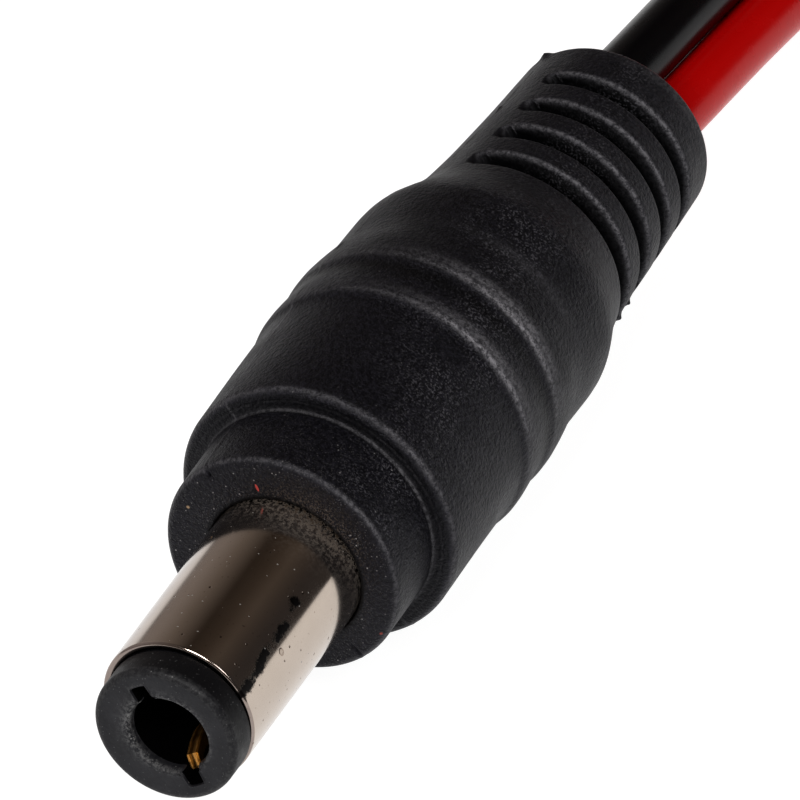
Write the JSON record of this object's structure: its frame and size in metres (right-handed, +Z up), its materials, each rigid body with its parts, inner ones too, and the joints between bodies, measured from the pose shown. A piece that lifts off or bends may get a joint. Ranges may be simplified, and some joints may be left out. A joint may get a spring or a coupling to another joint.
{
  "type": "dc barrel plug",
  "caption": "Straight moulded DC power plug with a round metal barrel, ribbed grip, slotted strain relief and a red and black pigtail tied in a hank.",
  "frame": {"origin": "on the plug's axis, in the flat front face of the moulding where the barrel leaves it", "axes": "+X along the plug's axis towards the barrel's tip, the way a mating socket comes off; +Z up, with the plug lying on its ribs and the hank on the plane z = -5.2 mm; +Y completes the right-handed frame"},
  "size_m": [0.1123, 0.0194, 0.0104],
  "materials": {
    "black_pvc": "fine moulded grain, slightly scuffed",
    "natural_pe": "natural, hidden",
    "nickel_plate": "bright plating with pits and tarnish",
    "black_insulator": "satin moulded plastic with dust",
    "phosphor_bronze": "bright stamped sheet with coined lines",
    "tinned_brass": "tin plated, hidden",
    "solder": "tinned",
    "copper": "bare stranded copper",
    "red_wire_pvc": "glossy extruded insulation",
    "black_wire_pvc": "glossy extruded insulation",
    "tie_plastic": "smooth"
  },
  "bodies": {
    "root": {"overmould": "black_pvc", "inner_mould": "natural_pe", "barrel_sleeve": "nickel_plate", "tip_insulator": "black_insulator", "fork_contact": "phosphor_bronze", "sleeve_tag": "tinned_brass", "red_solder_joint": "solder", "black_solder_joint": "solder", "red_conductor": "copper", "black_conductor": "copper", "red_wire": "red_wire_pvc", "black_wire": "black_wire_pvc", "wire_hank": "black_wire_pvc", "hank_tie": "tie_plastic", "red_tinned_end": "solder", "black_tinned_end": "solder"}
  },
  "joints": []
}
